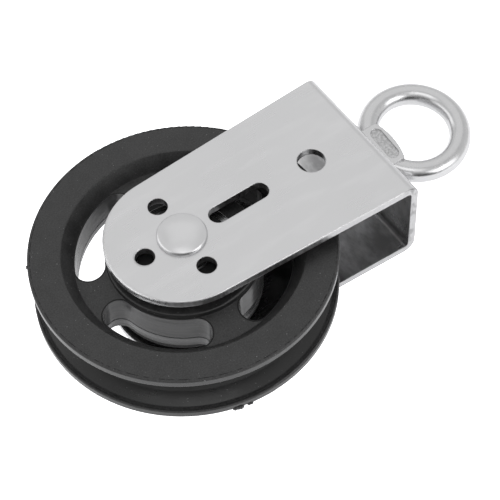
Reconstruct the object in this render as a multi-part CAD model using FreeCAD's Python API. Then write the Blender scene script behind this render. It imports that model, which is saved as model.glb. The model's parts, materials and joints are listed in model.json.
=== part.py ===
"""Single sheave block: a nylon wheel in a stainless strap bracket with a swivelling eye.

Millimetres. The origin is the centre of the wheel, +Z is the axle and +X points to the eye.
"""
import FreeCAD, Part
import math
import os

V = FreeCAD.Vector
ORIGIN = V(0, 0, 0)
X_AXIS = V(1, 0, 0)
Z_AXIS = V(0, 0, 1)

# Wheel
SHEAVE_R = 45.0          # outside radius
RIM_HALF = 9.55          # half the width over the rims
LIP_H = 2.7              # plain band at the outside of each rim
LEDGE = 1.8              # step between that band and the groove
ROPE_R = 5.5             # radius of the groove's bottom
GROOVE_R = 36.0          # wheel radius at the groove's bottom
RIM_IN_R = 35.4          # inner edge of a rim's face
WEB_OUT_R = 31.9         # foot of the recess inside the rim
WEB_OUT_Z = 5.3          # half thickness of the web there
BOSS_R = 22.7            # hub boss
BOSS_HALF = 8.7          # half the height of the boss
WEB_IN_Z = 6.9           # half thickness of the web at the boss
EDGE = 0.5               # rounding of the moulding's outer edges
WINDOWS = 4              # kidney windows through the web
WINDOW_AT = 218.6        # direction of the first window's middle, degrees
WINDOW_SPAN = 69.5       # from end to end, degrees
WINDOW_R = 27.25         # radius of a window's middle line
WINDOW_HALF = 4.4        # half width of a window at the web's faces
WINDOW_WAIST = 4.1       # half width at the mould line
MOULD_LINE_Z = -2.5      # height of the mould line inside the windows

# Bearings: two sealed 12 x 32 x 10 deep groove ball bearings, face to face
BORE_R = 6.0
BEARING_R = 16.0
BEARING_W = 10.0
PITCH_R = 11.0           # pitch circle of the balls
BALL_R = 2.9
BALLS = 7
INNER_LAND_R = 9.1       # outside of an inner ring
OUTER_LAND_R = 13.0      # inside of an outer ring
SEAT_R = 13.9            # seal seat in an outer ring
RACE_GAP = 0.2           # race radius over the ball radius
SEAL_GAP = 0.3           # between a seal's lip and the inner ring
SEAL_T = 0.8
SEAL_IN = 0.2            # seals sit this far inside the ring's face
CAGE_HALF_H = 3.8
CAGE_HALF_W = 0.8
FIT = 0.02               # play between parts that are pressed together

# Bracket: one strap, bent to a U
GAP_HALF = 13.0          # half the gap between the plates
STRAP_T = 2.5
STRAP_END_R = 22.75      # round end, about the axle
TAPER = 0.042            # how much each side of the strap widens towards the eye, per mm
WALL_IN_X = 63.0         # inner face of the end wall
BEND_IN_R = 1.5
SMALL_HOLE_R = 2.95
SMALL_HOLE_AT = 12.6     # distance of the small holes and of the slot's end from the axle
SLOT_FAR = 26.85         # centre of the slot's far end
BIG_HOLE_X = 45.5
BIG_HOLE_R = 4.25
STRAP_EDGE = 0.4         # rounded long edges
BEND_REACH = 40.0        # half width of the blocks that shape the bends; more than the strap's

# Axle: a rivet with a domed head on each plate
HEAD_R = 7.35
HEAD_H = 2.8             # height of the dome over the plate
HEAD_CROWN = 1.8         # how much of that height is the dome
HEAD_EDGE = 1.0          # rounded rim of the head
SPACER_R = 9.0

# Eye with its stem
EYE_X = 84.2             # centre of the ring
RING_R = 14.1            # radius of the ring's centre line
RING_T = 3.36            # radius of its round section
SWIVEL = 6.2             # how far the ring is turned at rest, degrees
PAD_HALF_H = 4.0         # half thickness of the flat pad at the ring's foot, proud of the ring
PAD_HALF_W = 7.4
PAD_INSET = 0.6          # the foot stays this far inside the ring's outline
PAD_FAR_X = 75.8         # the pad's edge inside the ring
PAD_SWELL = 1.3          # how far that edge curves outwards
PANEL_X = 72.5           # sunk panel in the pad's face
PANEL_R = 1.9
PANEL_HALF_L = 5.9
PANEL_DEPTH = 0.35
COLLAR_R = 7.2
COLLAR_T = 1.4
STEM_R = 4.0
STEM_PLAY = 0.1          # running fit of the stem in the end wall
NUT_R = 7.0
NUT_H = 4.4
NUT_EDGE = 1.6
PEEN_H = 0.6             # the stem's end, spread over the nut
WASHER_T = 1.0
WASHER_R = 8.0

WALL_OUT_X = WALL_IN_X + STRAP_T
PLATE_OUT_Z = GAP_HALF + STRAP_T
COLLAR_X = WALL_OUT_X + WASHER_T
NUT_SEAT_X = WALL_IN_X - WASHER_T
NUT_FACE_X = NUT_SEAT_X - NUT_H


def profile_face(edges):
    return Part.Face(Part.Wire(Part.__sortEdges__(edges)))


def polygon_face(points):
    return Part.Face(Part.makePolygon(points + points[:1]))


def turned(points, axis=Z_AXIS):
    """Solid of revolution of a closed outline about an axis through the origin."""
    return polygon_face(points).revolve(ORIGIN, axis, 360)


def ring(inner, outer, low, high):
    return turned([V(inner, 0, low), V(outer, 0, low), V(outer, 0, high), V(inner, 0, high)])


def x_cylinder(radius, start, end):
    return Part.makeCylinder(radius, end - start, V(start, 0, 0), X_AXIS)


def at_angle(shape, degrees):
    copy = shape.copy()
    copy.rotate(ORIGIN, Z_AXIS, degrees)
    return copy


# ---------------------------------------------------------------- wheel

def wheel_outline():
    """Half section of the wheel in the XZ plane: web, recess, rim and rope groove."""
    centre_r = GROOVE_R + ROPE_R
    mouth_r = SHEAVE_R - LEDGE
    mouth_z = RIM_HALF - LIP_H
    reach = math.hypot(mouth_r - centre_r, mouth_z)
    turn = math.atan2(mouth_z, mouth_r - centre_r) + math.acos(ROPE_R / reach)
    root = V(centre_r + ROPE_R * math.cos(turn), 0, ROPE_R * math.sin(turn))
    upper = [
        V(BEARING_R + FIT, 0, BOSS_HALF),
        V(BOSS_R, 0, BOSS_HALF),
        V(BOSS_R, 0, WEB_IN_Z),
        V(WEB_OUT_R, 0, WEB_OUT_Z),
        V(RIM_IN_R, 0, RIM_HALF),
        V(SHEAVE_R, 0, RIM_HALF),
        V(SHEAVE_R, 0, mouth_z),
        V(mouth_r, 0, mouth_z),
        root,
    ]
    lower = [V(p.x, 0, -p.z) for p in reversed(upper)]
    edges = [Part.LineSegment(a, b).toShape() for a, b in zip(upper, upper[1:])]
    edges += [Part.LineSegment(a, b).toShape() for a, b in zip(lower, lower[1:])]
    edges.append(Part.Arc(root, V(GROOVE_R, 0, 0), lower[0]).toShape())
    edges.append(Part.LineSegment(lower[-1], upper[0]).toShape())
    return edges


def window_cutter():
    """Kidney window: narrowest at the mould line, with fully round ends."""
    top = RIM_HALF
    side = [
        (WINDOW_HALF, top),
        (WINDOW_HALF, WEB_OUT_Z),
        (WINDOW_WAIST, MOULD_LINE_Z),
        (WINDOW_HALF, -WEB_OUT_Z),
        (WINDOW_HALF, -top),
    ]
    sweep = WINDOW_SPAN - 2 * math.degrees(WINDOW_HALF / WINDOW_R)
    section = [V(WINDOW_R + w, 0, z) for w, z in side]
    section += [V(WINDOW_R - w, 0, z) for w, z in reversed(side)]
    body = polygon_face(section).revolve(ORIGIN, Z_AXIS, sweep)
    half_section = [V(WINDOW_R + w, 0, z) for w, z in side]
    half_section += [V(WINDOW_R, 0, -top), V(WINDOW_R, 0, top)]
    end = polygon_face(half_section).revolve(V(WINDOW_R, 0, 0), Z_AXIS, 360)
    cutter = body.fuse([end, at_angle(end, sweep)])
    return at_angle(cutter, WINDOW_AT - sweep / 2)


def moulded_edges(wheel):
    """The circular edges of the boss, the rims and the lips that stand outwards."""
    corners = [
        (BOSS_R, BOSS_HALF),
        (RIM_IN_R, RIM_HALF),
        (SHEAVE_R, RIM_HALF),
        (SHEAVE_R, RIM_HALF - LIP_H),
    ]
    found = []
    for edge in wheel.Edges:
        box = edge.BoundBox
        if any(abs(box.XMax - r) < 0.01 and abs(abs(box.ZMin) - z) < 0.01 and box.ZLength < 0.01
               for r, z in corners):
            found.append(edge)
    return found


def sheave():
    wheel = profile_face(wheel_outline()).revolve(ORIGIN, Z_AXIS, 360)
    wheel = wheel.makeFillet(EDGE, moulded_edges(wheel))
    cutter = window_cutter()
    return wheel.cut([at_angle(cutter, i * 360 / WINDOWS) for i in range(WINDOWS)])


# ---------------------------------------------------------------- bearings

def race(centre_z):
    return Part.makeTorus(PITCH_R, BALL_R + RACE_GAP, V(0, 0, centre_z), Z_AXIS)


def inner_ring(low):
    solid = ring(BORE_R + FIT, INNER_LAND_R, low, low + BEARING_W)
    return solid.cut(race(low + BEARING_W / 2))


def outer_ring(low):
    """Outer ring with a seat for a seal at each face."""
    seat = SEAL_IN + SEAL_T
    high = low + BEARING_W
    solid = ring(OUTER_LAND_R, BEARING_R, low, high)
    seats = [ring(OUTER_LAND_R - 1, SEAT_R, low - 1, low + seat)]
    seats.append(ring(OUTER_LAND_R - 1, SEAT_R, high - seat, high + 1))
    return solid.cut(seats + [race(low + BEARING_W / 2)])


def seal(low):
    return ring(INNER_LAND_R + SEAL_GAP, SEAT_R - FIT, low, low + SEAL_T)


def around_pitch(shape):
    """Copies of a shape, one at each ball's place."""
    return [at_angle(shape, i * 360 / BALLS) for i in range(BALLS)]


def balls(low):
    ball = Part.makeSphere(BALL_R, V(PITCH_R, 0, low + BEARING_W / 2))
    return Part.makeCompound(around_pitch(ball))


def cage(low):
    """Moulded cage: a ring with a round pocket for each ball."""
    middle = low + BEARING_W / 2
    body = ring(PITCH_R - CAGE_HALF_W, PITCH_R + CAGE_HALF_W, middle - CAGE_HALF_H, middle + CAGE_HALF_H)
    start = PITCH_R - 2 * CAGE_HALF_W
    pocket = Part.makeCylinder(BALL_R + RACE_GAP, 4 * CAGE_HALF_W, V(start, 0, middle), X_AXIS)
    return body.cut(around_pitch(pocket))


def bearing(name, low):
    """The loose pieces of one bearing whose lower face is at z = low."""
    return {
        name + "_outer_ring": outer_ring(low),
        name + "_inner_ring": inner_ring(low),
        name + "_cage": cage(low),
        name + "_balls": balls(low),
        name + "_lower_seal": seal(low + SEAL_IN),
        name + "_upper_seal": seal(low + BEARING_W - SEAL_IN - SEAL_T),
    }


# ---------------------------------------------------------------- bracket and axle

def strap_plan():
    """Outline of the strap seen along the axle: round end, slightly flared sides."""
    flare = math.atan(TAPER)
    touch = V(-STRAP_END_R * math.sin(flare), STRAP_END_R * math.cos(flare), 0)
    corner = V(WALL_OUT_X, touch.y + TAPER * (WALL_OUT_X - touch.x), 0)
    low_touch = V(touch.x, -touch.y, 0)
    low_corner = V(corner.x, -corner.y, 0)
    edges = [
        Part.Arc(touch, V(-STRAP_END_R, 0, 0), low_touch).toShape(),
        Part.LineSegment(low_touch, low_corner).toShape(),
        Part.LineSegment(low_corner, corner).toShape(),
        Part.LineSegment(corner, touch).toShape(),
    ]
    return profile_face(edges)


def plate_cutters():
    """The openings that go through both plates."""
    low = V(0, 0, -PLATE_OUT_Z - 1)
    height = 2 * (PLATE_OUT_Z + 1)
    cutters = [Part.makeCylinder(BORE_R + FIT, height, low)]
    for degrees in (90, 180, 270):
        spot = at_angle(Part.Vertex(SMALL_HOLE_AT, 0, low.z), degrees).Point
        cutters.append(Part.makeCylinder(SMALL_HOLE_R, height, spot))
    cutters.append(Part.makeCylinder(SMALL_HOLE_R, height, V(SMALL_HOLE_AT, 0, low.z)))
    cutters.append(Part.makeCylinder(SMALL_HOLE_R, height, V(SLOT_FAR, 0, low.z)))
    slot = V(SMALL_HOLE_AT, -SMALL_HOLE_R, low.z)
    cutters.append(Part.makeBox(SLOT_FAR - SMALL_HOLE_AT, 2 * SMALL_HOLE_R, height, slot))
    cutters.append(Part.makeCylinder(BIG_HOLE_R, height, V(BIG_HOLE_X, 0, low.z)))
    return cutters


def rounded_end_block(half_height, end_x, radius, width):
    """Block along X whose two edges at its far end are rounded; used for the strap's bends."""
    start = -2 * STRAP_END_R
    block = Part.makeBox(end_x - start, 2 * width, 2 * half_height, V(start, -width, -half_height))
    bends = [e for e in block.Edges if e.BoundBox.XMin > end_x - 0.01 and e.BoundBox.YLength > width]
    return block.makeFillet(radius, bends)


def long_edges(solid):
    """The outer edges of the strap that follow its plan outline."""
    return [
        edge for edge in solid.Edges
        if abs(abs(edge.BoundBox.ZMin) - PLATE_OUT_Z) < 0.01
        and edge.BoundBox.ZLength < 0.01
        and edge.BoundBox.XLength > STRAP_END_R
    ]


def bracket():
    plan = strap_plan()
    plan.translate(V(0, 0, -PLATE_OUT_Z))
    outside = plan.extrude(V(0, 0, 2 * PLATE_OUT_Z))
    outside = outside.common(rounded_end_block(PLATE_OUT_Z, WALL_OUT_X, BEND_IN_R + STRAP_T, BEND_REACH))
    outside = outside.makeFillet(STRAP_EDGE, long_edges(outside))
    inside = rounded_end_block(GAP_HALF, WALL_IN_X, BEND_IN_R, BEND_REACH + 1)
    cutters = plate_cutters()
    cutters.append(x_cylinder(STEM_R + STEM_PLAY, WALL_IN_X - 1, WALL_OUT_X + 1))
    return outside.cut([inside] + cutters)


def domed_disc(radius, height, crown, edge):
    """Flat disc on the XY plane with a slightly domed top and a rounded rim."""
    sphere_r = (radius ** 2 + crown ** 2) / (2 * crown)
    dome = Part.makeSphere(sphere_r, V(0, 0, height - sphere_r))
    disc = Part.makeCylinder(radius, height).common(dome)
    rim = [e for e in disc.Edges if e.BoundBox.ZMin > height / 4 and e.BoundBox.ZLength < 0.01]
    return disc.makeFillet(edge, rim)


def axle_rivet():
    """Shank and both heads: the pin is headed over the plates when the block is put together."""
    head = domed_disc(HEAD_R, HEAD_H, HEAD_CROWN, HEAD_EDGE)
    head.translate(V(0, 0, PLATE_OUT_Z))
    shank = Part.makeCylinder(BORE_R, 2 * PLATE_OUT_Z, V(0, 0, -PLATE_OUT_Z))
    return shank.fuse([head, head.mirror(ORIGIN, Z_AXIS)]).removeSplitter()


def spacer(low):
    """Steel ring between a bearing's inner ring and a plate."""
    return ring(BORE_R + FIT, SPACER_R, low, low + GAP_HALF - BEARING_W)


# ---------------------------------------------------------------- eye

def pad_block():
    """Flat foot of the ring: straight towards the bracket, slightly swollen inside the ring."""
    near = COLLAR_X + 1
    far = PAD_FAR_X - PAD_SWELL
    corners = [V(near, -PAD_HALF_W, 0), V(far, -PAD_HALF_W, 0), V(far, PAD_HALF_W, 0), V(near, PAD_HALF_W, 0)]
    edges = [
        Part.LineSegment(corners[0], corners[1]).toShape(),
        Part.Arc(corners[1], V(PAD_FAR_X, 0, 0), corners[2]).toShape(),
        Part.LineSegment(corners[2], corners[3]).toShape(),
        Part.LineSegment(corners[3], corners[0]).toShape(),
    ]
    face = profile_face(edges)
    face.translate(V(0, 0, -PAD_HALF_H))
    block = face.extrude(V(0, 0, 2 * PAD_HALF_H))
    disc = Part.makeCylinder(RING_R + RING_T - PAD_INSET, 2 * PAD_HALF_H, V(EYE_X, 0, -PAD_HALF_H))
    return block.common(disc)


def panel():
    """Round-ended sunk panel in the pad's upper face, left plain."""
    low = PAD_HALF_H - PANEL_DEPTH
    height = 2 * PANEL_DEPTH
    run = PANEL_HALF_L - PANEL_R
    slab = Part.makeBox(2 * PANEL_R, 2 * run, height, V(PANEL_X - PANEL_R, -run, low))
    ends = [Part.makeCylinder(PANEL_R, height, V(PANEL_X, y, low)) for y in (-run, run)]
    return slab.fuse(ends)


def swivelled(shape):
    copy = shape.copy()
    copy.rotate(ORIGIN, X_AXIS, SWIVEL)
    return copy


def eye():
    """Cast ring with its flat foot, collar and stem in one piece."""
    body = Part.makeTorus(RING_R, RING_T, V(EYE_X, 0, 0), Z_AXIS).fuse([pad_block()])
    collar = x_cylinder(COLLAR_R, COLLAR_X, COLLAR_X + COLLAR_T)
    stem = x_cylinder(STEM_R, NUT_FACE_X, COLLAR_X + COLLAR_T)
    peen = Part.makeCone(STEM_R - PEEN_H, STEM_R, PEEN_H, V(NUT_FACE_X - PEEN_H, 0, 0), X_AXIS)
    body = body.fuse([collar, stem, peen]).cut([panel()])
    return swivelled(body)


def stem_nut():
    """Round nut on the stem, inside the end wall."""
    nut = x_cylinder(NUT_R, NUT_FACE_X, NUT_SEAT_X)
    rim = [e for e in nut.Edges if e.BoundBox.XMax < NUT_FACE_X + 0.01]
    return nut.makeFillet(NUT_EDGE, rim).cut([x_cylinder(STEM_R + FIT, NUT_FACE_X - 1, NUT_SEAT_X + 1)])


def washer(low_x):
    hole = x_cylinder(STEM_R + STEM_PLAY, low_x - 1, low_x + WASHER_T + 1)
    return x_cylinder(WASHER_R, low_x, low_x + WASHER_T).cut([hole])


# ---------------------------------------------------------------- assembly

def all_parts():
    parts = {
        "bracket": bracket(),
        "sheave": sheave(),
        "axle_rivet": axle_rivet(),
        "upper_spacer": spacer(BEARING_W),
        "lower_spacer": spacer(-GAP_HALF),
        "eye": eye(),
        "stem_nut": stem_nut(),
        "inner_washer": washer(NUT_SEAT_X),
        "outer_washer": washer(WALL_OUT_X),
    }
    parts.update(bearing("upper_bearing", 0))
    parts.update(bearing("lower_bearing", -BEARING_W))
    return parts


os.makedirs("parts", exist_ok=True)
for name, shape in all_parts().items():
    shape.exportStep("parts/" + name + ".step")
    print(name, "valid", shape.isValid(), "solids", len(shape.Solids), "volume", round(shape.Volume, 1))
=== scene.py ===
"""Looks of the single sheave block: materials, moulding flash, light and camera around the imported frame."""
import bmesh
import bpy
import json
import math
import random
from mathutils import Matrix, Vector


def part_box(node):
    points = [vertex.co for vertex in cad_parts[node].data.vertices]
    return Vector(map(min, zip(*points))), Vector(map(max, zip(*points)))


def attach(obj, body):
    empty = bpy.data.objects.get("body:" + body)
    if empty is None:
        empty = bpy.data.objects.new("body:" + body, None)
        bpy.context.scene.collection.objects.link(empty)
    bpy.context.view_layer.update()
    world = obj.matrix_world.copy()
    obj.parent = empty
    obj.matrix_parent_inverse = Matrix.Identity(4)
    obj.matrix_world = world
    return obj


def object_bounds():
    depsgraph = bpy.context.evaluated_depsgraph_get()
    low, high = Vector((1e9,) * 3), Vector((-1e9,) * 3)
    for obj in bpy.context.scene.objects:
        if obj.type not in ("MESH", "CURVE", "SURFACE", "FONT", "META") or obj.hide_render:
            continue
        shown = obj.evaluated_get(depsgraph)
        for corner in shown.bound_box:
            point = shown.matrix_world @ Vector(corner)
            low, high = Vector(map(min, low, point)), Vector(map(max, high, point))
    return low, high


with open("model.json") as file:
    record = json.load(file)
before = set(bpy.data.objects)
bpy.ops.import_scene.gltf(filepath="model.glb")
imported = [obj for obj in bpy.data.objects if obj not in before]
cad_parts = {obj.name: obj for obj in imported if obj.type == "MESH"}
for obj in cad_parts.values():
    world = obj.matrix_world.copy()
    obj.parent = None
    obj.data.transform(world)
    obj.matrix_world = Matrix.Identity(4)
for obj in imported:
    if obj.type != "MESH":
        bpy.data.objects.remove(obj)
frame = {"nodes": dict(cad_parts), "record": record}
CAD_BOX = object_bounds()
NODES = frame["nodes"]
MM = 0.001


def far_end(node, axis):
    """Highest coordinate of a CAD node along an axis, in millimetres."""
    return round(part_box(node)[1][axis] / MM, 2)


# Sizes of the CAD model that the looks follow, in millimetres and degrees
SHEAVE_R = far_end("sheave", 0)
STRAP_T = 2.5
GAP_HALF = far_end("bracket", 2) - STRAP_T     # half the gap between the strap's plates
WALL_IN_X = far_end("bracket", 0) - STRAP_T    # inner face of the strap's end wall
BOSS_R = 22.7            # hub boss of the wheel
WEB_OUT_R = 31.9         # foot of the recess inside the rim
WEB_IN_Z = 6.9           # half thickness of the web at the boss
GROOVE_BED_R = 35.6      # the rope groove runs from here
GROOVE_LIP_R = 43.2      # to the foot of the rims' lips
GROOVE_HALF = 7.05       # and is this far open to each side of the middle
MOULD_LINE_Z = -2.5      # parting line inside the windows
WINDOW_AT = 218.6        # direction of one window's middle
WINDOW_SPAN = 69.5       # from end to end of a window
WINDOW_R = 27.25         # radius of a window's middle line
WINDOW_HALF = 4.4        # half width of a window
SWIVEL = 6.2             # turn of the eye about its stem at rest
PANEL_X = 72.5           # middle of the eye's sunk panel
PANEL_Z = 3.65           # height of its floor
PANEL_HALF = 1.9         # half its width


# ---------------------------------------------------------------- node helpers

def grey(value):
    """Neutral grey, a touch cooler than pure."""
    return (value, value, value * 1.01, 1.0)


class Nodes:
    """Shorthand for one node tree; numbers, tuples and sockets are all taken as inputs."""

    def __init__(self, tree):
        self.tree = tree

    def node(self, kind, inputs=(), **settings):
        made = self.tree.nodes.new(kind)
        for key, value in settings.items():
            setattr(made, key, value)
        for key, value in dict(inputs).items():
            self.put(made.inputs[key], value)
        return made

    def put(self, socket, value):
        if isinstance(value, bpy.types.NodeSocket):
            self.tree.links.new(value, socket)
        else:
            socket.default_value = value

    def math(self, operation, a, b=0.0):
        return self.node("ShaderNodeMath", {0: a, 1: b}, operation=operation).outputs[0]

    def wrap(self, value, low, high):
        return self.node("ShaderNodeMath", {0: value, 1: high, 2: low}, operation="WRAP").outputs[0]

    def product(self, *values):
        result = values[0]
        for value in values[1:]:
            result = self.math("MULTIPLY", result, value)
        return result

    def highest(self, *values):
        result = values[0]
        for value in values[1:]:
            result = self.math("MAXIMUM", result, value)
        return result

    def parts(self, vector):
        return self.node("ShaderNodeSeparateXYZ", {0: vector}).outputs

    def remap(self, value, low, high, to_low=0.0, to_high=1.0):
        inputs = {0: value, 1: low, 2: high, 3: to_low, 4: to_high}
        return self.node("ShaderNodeMapRange", inputs).outputs[0]

    def lerp(self, factor, a, b):
        return self.node("ShaderNodeMix", {0: factor, 2: a, 3: b}, data_type="FLOAT").outputs[0]


class Paint(Nodes):
    """One procedural material; lengths are in millimetres, noise in features per metre."""

    def __init__(self, name, **constants):
        self.material = bpy.data.materials.new(name)
        self.material.use_nodes = True
        super().__init__(self.material.node_tree)
        self.bsdf = self.tree.nodes["Principled BSDF"]
        for socket, value in constants.items():
            self.bsdf.inputs[socket.replace("_", " ")].default_value = value
        coords = self.node("ShaderNodeTexCoord")
        self.place = coords.outputs["Object"]
        self.normal = coords.outputs["Normal"]

    def set(self, socket, value):
        self.put(self.bsdf.inputs[socket], value)

    def mix(self, factor, a, b):
        """Blend of two colours; a plain number stands for a grey."""
        a, b = [grey(c) if isinstance(c, float) else c for c in (a, b)]
        return self.node("ShaderNodeMix", {0: factor, 6: a, 7: b}, data_type="RGBA").outputs[2]

    def radius(self):
        """Distance from the wheel's axle."""
        x, y, z = self.parts(self.place)
        return self.math("SQRT", self.math("ADD", self.product(x, x), self.product(y, y)))

    def noise(self, scale, detail, rough=0.5, turn=(0, 0, 0), source=None):
        """Cloudy noise; the scale is one number or one per axis."""
        mapped = self.node("ShaderNodeMapping", {"Vector": source or self.place})
        mapped.inputs["Rotation"].default_value = turn
        mapped.inputs["Scale"].default_value = scale if isinstance(scale, tuple) else (scale,) * 3
        inputs = {"Vector": mapped.outputs[0], "Scale": 1.0, "Detail": detail, "Roughness": rough}
        return self.node("ShaderNodeTexNoise", inputs).outputs["Fac"]

    def spread(self, noise, low, high):
        """Noise lies mostly between 0.3 and 0.7; this spreads it from low to high."""
        return self.remap(noise, 0.3, 0.7, low, high)

    def past(self, value, start, end):
        """0 up to start, 1 from end on; end may lie on either side of start."""
        return self.remap(value, start * MM, end * MM)

    def band(self, value, centre, half, soft):
        """1 where value is within half of centre, fading to 0 over soft."""
        away = self.math("ABSOLUTE", self.math("SUBTRACT", value, centre * MM))
        return self.remap(away, half * MM, (half + soft) * MM, 1.0, 0.0)

    def bump(self, height, depth, under=None, strength=1.0):
        """Bump whose full height range stands for depth."""
        inputs = {"Height": height, "Distance": depth * MM, "Strength": strength}
        made = self.node("ShaderNodeBump", inputs)
        if under is not None:
            self.put(made.inputs["Normal"], under)
        return made.outputs[0]

    def round_edges(self, reach, wider=None, where=None):
        """Rounded shading along edges; the radius grows from reach to wider where a mask is 1."""
        made = self.node("ShaderNodeBevel", samples=4)
        made.inputs["Radius"].default_value = reach * MM
        if where is not None:
            self.put(made.inputs["Radius"], self.lerp(where, reach * MM, wider * MM))
        return made.outputs[0]


# ---------------------------------------------------------------- strap

def strap_zones(p):
    """Masks: flat sheet, dented edge of the end wall, inside faces, the part of them over the wheel that
    takes a painted shade, edge of the rounded end that takes a painted highlight.
    """
    x, y, z = p.parts(p.place)
    along, across, up = [p.math("ABSOLUTE", part) for part in p.parts(p.normal)]
    sheet = p.highest(up, p.product(along, p.past(x, WALL_IN_X - 8.0, WALL_IN_X - 5.0)))
    flat = p.remap(sheet, 0.6, 0.95)
    wall_edge = p.product(p.past(x, WALL_IN_X - 3.0, WALL_IN_X - 0.5), p.remap(across, 0.3, 0.9))
    in_gap = p.past(p.math("ABSOLUTE", z), GAP_HALF + 0.6, GAP_HALF + 0.1)
    inside = p.product(in_gap, p.past(x, WALL_IN_X + 0.6, WALL_IN_X + 0.1))
    # Inside faces over the wheel, between the plates and the wheel; they get a painted shade further down.
    painted_shade_over_wheel = p.product(inside, p.past(x, SHEAVE_R - 2.0, SHEAVE_R - 5.0))
    # Edge of the strap's rounded end (negative x); it is painted near white further down, a painted
    # highlight, and also rounded wider and smoother.
    painted_highlight_edge = p.product(p.past(x, -10.0, -17.0), p.past(y, -19.0, -12.0))
    return flat, wall_edge, inside, painted_shade_over_wheel, painted_highlight_edge


def strap_steel():
    """Rolled stainless sheet: faint grain along the strap, soft clouds, sheared and dented edges."""
    p = Paint("strap_steel", Metallic=1.0)
    flat, wall_edge, inside, painted_shade_over_wheel, painted_highlight_edge = strap_zones(p)
    grain = p.noise((50, 1600, 1600), 3)
    clouds = p.noise((45, 60, 60), 2)
    smears = p.remap(p.noise((60, 260, 260), 3), 0.5, 0.75)
    smudges = p.remap(p.noise((260, 130, 90), 4, 0.65), 0.42, 0.68)
    specks = p.noise(1500, 2)
    shear = p.noise((900, 900, 60), 3)
    dents = p.noise((420, 420, 260), 2)

    face = p.mix(p.product(smears, 0.3), p.mix(clouds, 0.57, 0.61), 0.68)
    face = p.mix(inside, face, p.mix(smudges, 0.46, 0.72))
    # Painted shade: the inside faces over the wheel are painted dark (0.27).
    face = p.mix(painted_shade_over_wheel, face, 0.27)
    # Dented spots on the end wall's edge are painted darker: a painted shade of the dents.
    edge = p.mix(p.product(wall_edge, p.remap(dents, 0.5, 0.62)), p.mix(shear, 0.40, 0.58), 0.30)
    # Painted highlight: the edge of the strap's rounded end is painted near white (0.85).
    edge = p.mix(painted_highlight_edge, edge, 0.85)
    p.set("Base Color", p.mix(flat, edge, face))

    face_rough = p.math("ADD", p.spread(clouds, 0.26, 0.31), p.spread(grain, -0.005, 0.005))
    edge_rough = p.lerp(painted_highlight_edge, p.spread(shear, 0.26, 0.42), 0.24)
    p.set("Roughness", p.lerp(flat, edge_rough, face_rough))

    waves = p.bump(clouds, 0.08, p.round_edges(0.5, 1.6, painted_highlight_edge))
    lines = p.lerp(flat, p.product(shear, 3.0), p.product(grain, 0.3))
    dented = p.bump(p.product(dents, wall_edge), 0.5, p.bump(lines, 0.0015, waves))
    p.set("Normal", p.bump(specks, 0.001, dented))
    return p.material


# ---------------------------------------------------------------- other metals

def rivet_steel():
    """Headed axle, washers and nut: smooth, with faint tool marks and handling scratches."""
    p = Paint("rivet_steel", Metallic=1.0)
    clouds = p.noise(160, 3)
    scratches = p.noise((300, 5000, 900), 2, turn=(0, 0, 0.6))
    p.set("Base Color", p.mix(clouds, 0.60, 0.66))
    scratched = p.remap(scratches, 0.55, 0.8, 0.0, 0.06)
    p.set("Roughness", p.math("ADD", p.spread(clouds, 0.30, 0.36), scratched))
    waves = p.bump(clouds, 0.05, p.round_edges(0.2))
    p.set("Normal", p.bump(scratches, 0.003, waves))
    return p.material


def panel_floor(p):
    """Mask of the sunk panel's floor, which is level once the eye's swivel is taken back."""
    x = p.parts(p.place)[0]
    level = p.node("ShaderNodeVectorRotate", {"Vector": p.place}, rotation_type="X_AXIS", invert=True)
    level.inputs["Angle"].default_value = math.radians(SWIVEL)
    depth = p.parts(level.outputs[0])[2]
    return p.product(p.band(depth, PANEL_Z, 0.04, 0.1), p.band(x, PANEL_X, PANEL_HALF, 0.05))


def cast_stainless():
    """Barrel-polished casting: satin, gently wavy, with a stippled floor in the sunk panel."""
    p = Paint("cast_stainless", Metallic=1.0)
    sunk = panel_floor(p)
    waves = p.noise(140, 2)
    clouds = p.noise(420, 3)
    pits = p.noise(2600, 3)
    stipple = p.noise(1500, 3, 0.7)
    metal = p.mix(clouds, 0.54, 0.60)
    p.set("Base Color", p.mix(p.product(sunk, p.remap(stipple, 0.4, 0.6)), metal, 0.38))
    p.set("Roughness", p.math("ADD", p.spread(clouds, 0.2, 0.29), p.product(sunk, 0.12)))
    wavy = p.bump(clouds, 0.010, p.bump(waves, 0.10, p.round_edges(0.35)))
    p.set("Normal", p.bump(p.product(stipple, sunk), 0.12, p.bump(pits, 0.004, wavy)))
    return p.material


def bearing_steel():
    """Ground bearing steel with fine rings around the axle."""
    p = Paint("bearing_steel", Metallic=1.0)
    polar = p.node("ShaderNodeCombineXYZ", {0: p.radius(), 1: p.parts(p.place)[2]}).outputs[0]
    rings = p.noise((6000, 6000, 1), 2, source=polar)
    clouds = p.noise(300, 2)
    p.set("Base Color", p.mix(clouds, 0.36, 0.44))
    p.set("Roughness", p.spread(rings, 0.2, 0.32))
    p.set("Normal", p.bump(rings, 0.002, p.round_edges(0.2)))
    return p.material


# ---------------------------------------------------------------- wheel

def window_distance(p, radius):
    """Distance from the nearest window's middle line, the same in all four quarters."""
    x, y, z = p.parts(p.place)
    quarter = math.pi / 2
    half = math.radians(WINDOW_SPAN) / 2 - WINDOW_HALF / WINDOW_R
    direction = p.math("SUBTRACT", p.math("ARCTAN2", y, x), math.radians(WINDOW_AT))
    direction = p.wrap(direction, -quarter / 2, quarter / 2)
    nearest = p.highest(p.math("MINIMUM", direction, half), -half)
    turn = p.math("COSINE", p.math("SUBTRACT", direction, nearest))
    squares = p.math("ADD", p.product(radius, radius), (WINDOW_R * MM) ** 2)
    cross = p.product(radius, turn, 2 * WINDOW_R * MM)
    return p.math("SQRT", p.highest(p.math("SUBTRACT", squares, cross), 0.0))


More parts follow.
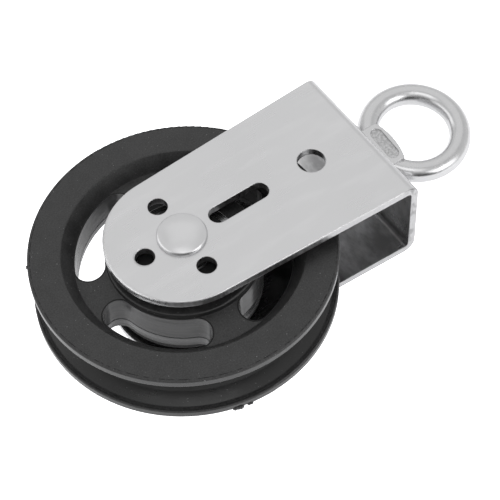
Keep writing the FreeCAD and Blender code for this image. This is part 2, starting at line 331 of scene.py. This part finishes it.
def wheel_zones(p):
    """Masks: window walls, side of the hub boss, outer lips, rope groove, dark lines (moulding line and burr,
    and a painted shade along the window edges).
    """
    z = p.parts(p.place)[2]
    radius = p.radius()
    height = p.math("ABSOLUTE", z)
    steep = p.math("ABSOLUTE", p.parts(p.normal)[2])
    upright = p.math("SUBTRACT", 1.0, p.remap(steep, 0.3, 0.55))
    level = p.remap(steep, 0.6, 0.9)
    outside_boss = p.past(radius, BOSS_R - 0.2, BOSS_R + 0.2)
    web = p.product(outside_boss, p.past(radius, WEB_OUT_R + 0.3, WEB_OUT_R - 0.1))
    above_web = p.past(height, WEB_IN_Z - 0.4, WEB_IN_Z - 0.2)

    wall = p.product(upright, web, p.math("SUBTRACT", 1.0, above_web))
    boss = p.product(upright, p.band(radius, BOSS_R, 0.1, 0.1), above_web)
    lip = p.product(upright, p.past(radius, SHEAVE_R - 0.4, SHEAVE_R - 0.1))
    groove = p.product(
        p.past(radius, GROOVE_LIP_R + 0.1, GROOVE_LIP_R - 0.1),
        p.past(radius, GROOVE_BED_R - 0.2, GROOVE_BED_R + 0.2),
        p.past(height, GROOVE_HALF + 0.15, GROOVE_HALF - 0.15),
    )

    parting = p.product(p.band(z, MOULD_LINE_Z, 0.16, 0.12), wall)
    # Painted shade along the window edges, on the level face beside each window.
    outline = p.product(p.band(window_distance(p, radius), WINDOW_HALF + 0.22, 0.13, 0.1), level, web)
    broken = p.remap(p.noise(700, 3), 0.42, 0.55)
    burr = p.product(p.band(radius, SHEAVE_R - 0.85, 0.06, 0.08), level, broken)
    return wall, boss, lip, groove, p.highest(parting, outline, burr)


def black_nylon():
    """Moulded nylon: satin with a fine grain, glossy inside the windows, parting lines and dust; window walls
    painted lighter as a painted reflection, and painted shade on the hub boss's side, in the rope groove and
    along the window edges.
    """
    p = Paint("black_nylon", Specular_IOR_Level=0.5)
    wall, boss, lip, groove, lines = wheel_zones(p)
    grain = p.noise(2300, 2)
    mottle = p.noise(260, 4)
    flow = p.noise((90, 90, 900), 3)
    dust = p.remap(p.noise(1900, 1), 0.75, 0.79)

    pores = p.remap(p.math("ADD", grain, p.product(mottle, 0.5)), 0.55, 0.95)
    # Painted reflection: the window walls are painted lighter (0.08 to 0.15) than the rest (0.01 to 0.03).
    colour = p.mix(wall, p.mix(pores, 0.010, 0.030), p.mix(flow, 0.08, 0.15))
    # Painted shade: the side of the hub boss and the rope groove are painted darker (0.005).
    colour = p.mix(p.highest(boss, groove), colour, 0.005)
    colour = p.mix(p.product(dust, 0.6), colour, 0.3)
    # Dark lines: moulding line and burr as marks, and along the window edges a painted shade.
    p.set("Base Color", p.mix(p.product(lines, 0.9), colour, 0.006))

    gloss = p.highest(wall, lip, p.product(groove, 0.6))
    rough = p.lerp(gloss, p.spread(mottle, 0.4, 0.52), p.spread(flow, 0.12, 0.26))
    p.set("Roughness", p.lerp(p.highest(lines, p.product(boss, 0.6)), rough, 0.9))

    soft = p.bump(mottle, 0.03, p.round_edges(0.35))
    streaks = p.bump(p.product(flow, wall), 0.05, p.bump(grain, 0.02, soft, 0.8))
    p.set("Normal", p.bump(p.math("SUBTRACT", 0.0, lines), 0.12, streaks))
    return p.material


# ---------------------------------------------------------------- inside the bearings

def cage_nylon():
    """Tan glass-filled cage."""
    p = Paint("cage_nylon")
    mottle = p.noise(900, 3)
    p.set("Base Color", p.mix(mottle, (0.10, 0.08, 0.055, 1), (0.16, 0.13, 0.09, 1)))
    p.set("Roughness", p.spread(mottle, 0.5, 0.65))
    p.set("Normal", p.bump(mottle, 0.01))
    return p.material


def seal_rubber():
    """Matt moulded seal."""
    p = Paint("seal_rubber")
    mottle = p.noise(1100, 3)
    p.set("Base Color", p.mix(mottle, 0.004, 0.010))
    p.set("Roughness", p.spread(mottle, 0.55, 0.75))
    p.set("Normal", p.bump(mottle, 0.01, p.round_edges(0.15)))
    return p.material


MATERIALS = {
    "strap_steel": strap_steel(),
    "rivet_steel": rivet_steel(),
    "cast_stainless": cast_stainless(),
    "bearing_steel": bearing_steel(),
    "black_nylon": black_nylon(),
    "cage_nylon": cage_nylon(),
    "seal_rubber": seal_rubber(),
}
for part in frame["record"]["subparts"]:
    NODES[part["node"]].data.materials.clear()
    NODES[part["node"]].data.materials.append(MATERIALS[part["material_slot"]])


# ---------------------------------------------------------------- moulding flash

FLASH_STEPS = 14         # rows along a sliver
FLASH_ROOT = 0.45        # how deep its root sits in the rim


def flash_rows(start, end, low, high, reach, seed):
    """Outlines of a sliver in turn, as (radius, direction, height) corners."""
    rng = random.Random(seed)
    for i in range(FLASH_STEPS + 1):
        turn = math.radians(start + (end - start) * i / FLASH_STEPS)
        swell = math.sin(math.pi * i / FLASH_STEPS) ** 0.5 * rng.uniform(0.45, 1.0)
        yield [
            (SHEAVE_R - FLASH_ROOT, turn, low),
            (SHEAVE_R + reach * swell, turn, low + rng.uniform(0.0, 0.15)),
            (SHEAVE_R + reach * swell * rng.uniform(0.5, 0.8), turn, high - 0.3 * rng.random()),
            (SHEAVE_R - FLASH_ROOT, turn, high),
        ]


def flash(name, start, end, low, high, reach, seed):
    """Torn sliver of nylon on a rim's edge; directions in degrees, heights and reach in millimetres."""
    mesh = bmesh.new()
    rows = []
    for outline in flash_rows(start, end, low, high, reach, seed):
        corners = [(r * math.cos(turn), r * math.sin(turn), z) for r, turn, z in outline]
        rows.append([mesh.verts.new(Vector(corner) * MM) for corner in corners])
    for a, b in zip(rows, rows[1:]):
        for i in range(4):
            j = (i + 1) % 4
            mesh.faces.new((a[i], a[j], b[j], b[i]))
    mesh.faces.new(reversed(rows[0]))
    mesh.faces.new(rows[-1])
    bmesh.ops.recalc_face_normals(mesh, faces=mesh.faces)
    data = bpy.data.meshes.new(name)
    mesh.to_mesh(data)
    mesh.free()
    for face in data.polygons:
        face.use_smooth = True
    data.materials.append(MATERIALS["black_nylon"])
    piece = bpy.data.objects.new(name, data)
    bpy.context.scene.collection.objects.link(piece)
    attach(piece, "wheel")


flash("rim_flash_1", 253.0, 257.4, -9.75, -8.7, 0.75, 1)
flash("rim_flash_2", 258.6, 261.0, -9.7, -8.9, 0.45, 2)
flash("rim_flash_3", 151.6, 152.8, 8.3, 9.45, 0.5, 3)


# ---------------------------------------------------------------- stage, light, camera (metres)

FLOOR_SIZE = 6.0
FLOOR_GAP = 0.02 * MM            # between the floor and the lowest point of the block
FLOOR_SEEN = 1.4                 # glow of the floor for the camera
FLOOR_LIGHT = 0.6                # glow of the floor for everything else
ROOM_SEEN = 0.9                  # the same two for the room
ROOM_LIGHT = 0.85
SCREEN_WAY = (-0.53, -0.85, 0)   # where the dark screen stands
SCREEN_LIGHT = 0.03
CEILING_LIGHT = 0.75
LIGHT_AIM = Vector((0.02, 0, 0))


def floor():
    """Pale floor that glows white for the camera."""
    low = CAD_BOX[0][2]
    bpy.ops.mesh.primitive_plane_add(size=FLOOR_SIZE, location=(0, 0, low - FLOOR_GAP))
    plane = bpy.context.object
    plane.name = "floor"
    p = Paint("pale_floor", Roughness=0.6)
    seen = p.node("ShaderNodeLightPath").outputs["Is Camera Ray"]
    p.set("Base Color", p.mix(p.noise(3, 2), 0.80, 0.84))
    p.set("Emission Color", grey(1.0))
    p.set("Emission Strength", p.lerp(seen, FLOOR_LIGHT, FLOOR_SEEN))
    plane.data.materials.append(p.material)


def surroundings():
    """Light room with a dimmer ceiling and a dark screen low down on the camera's side."""
    world = bpy.data.worlds.new("studio")
    bpy.context.scene.world = world
    world.use_nodes = True
    n = Nodes(world.node_tree)
    way = n.node("ShaderNodeTexCoord").outputs["Generated"]
    facing = n.node("ShaderNodeVectorMath", {0: way, 1: SCREEN_WAY}, operation="DOT_PRODUCT")
    low_down = n.remap(facing.outputs["Value"], 0.45, 0.8, ROOM_LIGHT, SCREEN_LIGHT)
    rise = n.remap(n.parts(way)[2], 0.3, 0.75)
    seen = n.node("ShaderNodeLightPath").outputs["Is Camera Ray"]
    back = world.node_tree.nodes["Background"]
    back.inputs["Color"].default_value = (1, 1, 1, 1)
    n.put(back.inputs["Strength"], n.lerp(seen, n.lerp(rise, low_down, CEILING_LIGHT), ROOM_SEEN))


def softbox(name, place, size, power):
    """Rectangular light facing the block."""
    light = bpy.data.lights.new(name, "AREA")
    light.shape = "RECTANGLE"
    light.size, light.size_y = size
    light.energy = power
    lamp = bpy.data.objects.new(name, light)
    lamp.location = place
    lamp.rotation_euler = (Vector(place) - LIGHT_AIM).to_track_quat("Z", "Y").to_euler()
    bpy.context.scene.collection.objects.link(lamp)


VIEW_AZIMUTH = math.radians(-122.5672)
VIEW_ELEVATION = math.radians(55.0190)
VIEW_ROLL = math.radians(-2.886)
VIEW_TARGET = Vector((18.615, -6.39, 0)) * MM
VIEW_DISTANCE = 536.52 * MM
LENS = 131.95            # focal length for a sensor of SENSOR, both in millimetres
SENSOR = 36.0


def camera():
    """Camera looking down on the block from the wheel's side."""
    level = Vector((math.cos(VIEW_AZIMUTH), math.sin(VIEW_AZIMUTH), 0))
    back = level * math.cos(VIEW_ELEVATION) + Vector((0, 0, math.sin(VIEW_ELEVATION)))
    across = Vector((0, 0, 1)).cross(back).normalized()
    up = back.cross(across)
    right = across * math.cos(VIEW_ROLL) + up * math.sin(VIEW_ROLL)
    top = up * math.cos(VIEW_ROLL) - across * math.sin(VIEW_ROLL)
    data = bpy.data.cameras.new("camera")
    data.lens = LENS
    data.sensor_width = SENSOR
    data.clip_start = 0.01
    data.clip_end = 50.0
    made = bpy.data.objects.new("camera", data)
    columns = Matrix((right, top, back)).transposed().to_4x4()
    made.matrix_world = Matrix.Translation(VIEW_TARGET + back * VIEW_DISTANCE) @ columns
    bpy.context.scene.collection.objects.link(made)
    bpy.context.scene.camera = made


floor()
surroundings()
softbox("overhead", (0.25, 0.38, 0.75), (0.9, 0.9), 0.6)
softbox("left", (-0.80, 0.34, 0.44), (1.5, 0.55), 1.9)
softbox("front_right", (0.36, -0.8, 0.45), (0.6, 0.5), 2.2)
softbox("top_front", (-0.19, -0.30, 0.88), (0.6, 0.4), 0.7)
camera()
bpy.context.scene.view_settings.view_transform = "Standard"
